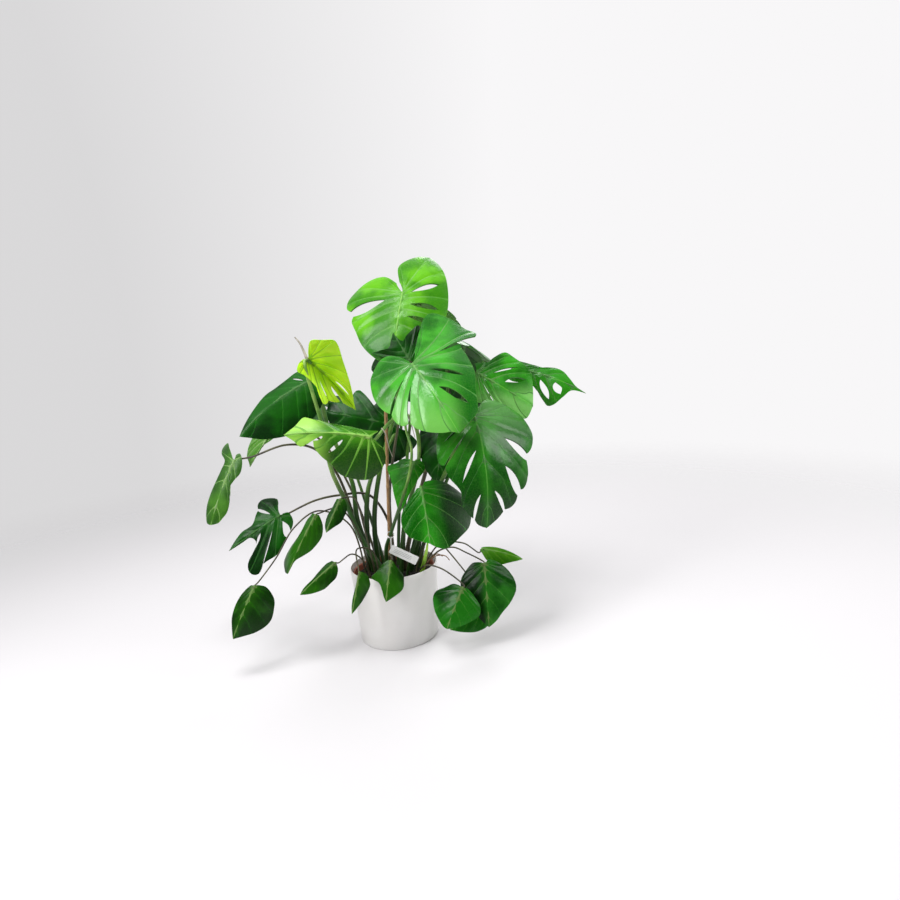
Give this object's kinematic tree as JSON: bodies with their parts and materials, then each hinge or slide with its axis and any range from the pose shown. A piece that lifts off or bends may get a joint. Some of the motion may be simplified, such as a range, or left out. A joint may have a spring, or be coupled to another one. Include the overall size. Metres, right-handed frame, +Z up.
{
  "type": "potted swiss cheese plant",
  "caption": "Bushy climbing houseplant with split, holed, heart-shaped leaves on arching stalks, staked in soil in a nursery pot inside a smooth white cover pot.",
  "frame": {"origin": "centre of the cover pot's underside, on the surface it stands on", "axes": "+Z up along the pots' axis; -Y towards the front, the side the plant faces; +X to the right"},
  "size_m": [1.0314, 0.5811, 1.028],
  "materials": {
    "cover_pot": "satin white",
    "nursery_pot": "matt terracotta brown",
    "soil": "dark crumbly potting soil",
    "bamboo_stake": "dry bamboo",
    "new_shoot": "waxy young stem",
    "label": "blank white plastic",
    "leaf_crown": "waxy leaf",
    "leaf_glossy": "waxy leaf",
    "leaf_split": "waxy leaf",
    "leaf_right_upper": "waxy leaf",
    "leaf_far_right": "waxy leaf",
    "leaf_young_yellow": "waxy leaf",
    "leaf_left_dark": "waxy leaf",
    "leaf_young_light": "waxy leaf",
    "leaf_back_dark": "waxy leaf",
    "leaf_back_mid": "waxy leaf",
    "leaf_top_back": "waxy leaf",
    "leaf_right_back": "waxy leaf",
    "leaf_left_hanging": "waxy leaf",
    "leaf_left_tip": "waxy leaf",
    "leaf_low_split": "waxy leaf",
    "leaf_back_top": "waxy leaf",
    "leaf_back_right": "waxy leaf",
    "leaf_back_left": "waxy leaf",
    "leaf_centre_small": "waxy leaf",
    "leaf_centre_heart": "waxy leaf",
    "leaf_oval": "waxy leaf",
    "leaf_low_b": "waxy leaf",
    "leaf_low_c": "waxy leaf",
    "leaf_low_d": "waxy leaf",
    "leaf_front_a": "waxy leaf",
    "leaf_front_b": "waxy leaf",
    "leaf_right_a": "waxy leaf",
    "leaf_right_b": "waxy leaf",
    "leaf_right_c": "waxy leaf",
    "leaf_right_point": "waxy leaf",
    "leaf_curled": "waxy leaf"
  },
  "bodies": {
    "root": {"cover_pot": "cover_pot", "nursery_pot": "nursery_pot", "soil": "soil", "bamboo_stake": "bamboo_stake", "new_shoot": "new_shoot", "label": "label", "leaf_crown": "leaf_crown", "leaf_glossy": "leaf_glossy", "leaf_split": "leaf_split", "leaf_right_upper": "leaf_right_upper", "leaf_far_right": "leaf_far_right", "leaf_young_yellow": "leaf_young_yellow", "leaf_left_dark": "leaf_left_dark", "leaf_young_light": "leaf_young_light", "leaf_back_dark": "leaf_back_dark", "leaf_back_mid": "leaf_back_mid", "leaf_top_back": "leaf_top_back", "leaf_right_back": "leaf_right_back", "leaf_left_hanging": "leaf_left_hanging", "leaf_left_tip": "leaf_left_tip", "leaf_low_split": "leaf_low_split", "leaf_back_top": "leaf_back_top", "leaf_back_right": "leaf_back_right", "leaf_back_left": "leaf_back_left", "leaf_centre_small": "leaf_centre_small", "leaf_centre_heart": "leaf_centre_heart", "leaf_oval": "leaf_oval", "leaf_low_b": "leaf_low_b", "leaf_low_c": "leaf_low_c", "leaf_low_d": "leaf_low_d", "leaf_front_a": "leaf_front_a", "leaf_front_b": "leaf_front_b", "leaf_right_a": "leaf_right_a", "leaf_right_b": "leaf_right_b", "leaf_right_c": "leaf_right_c", "leaf_right_point": "leaf_right_point", "leaf_curled": "leaf_curled"}
  },
  "joints": []
}
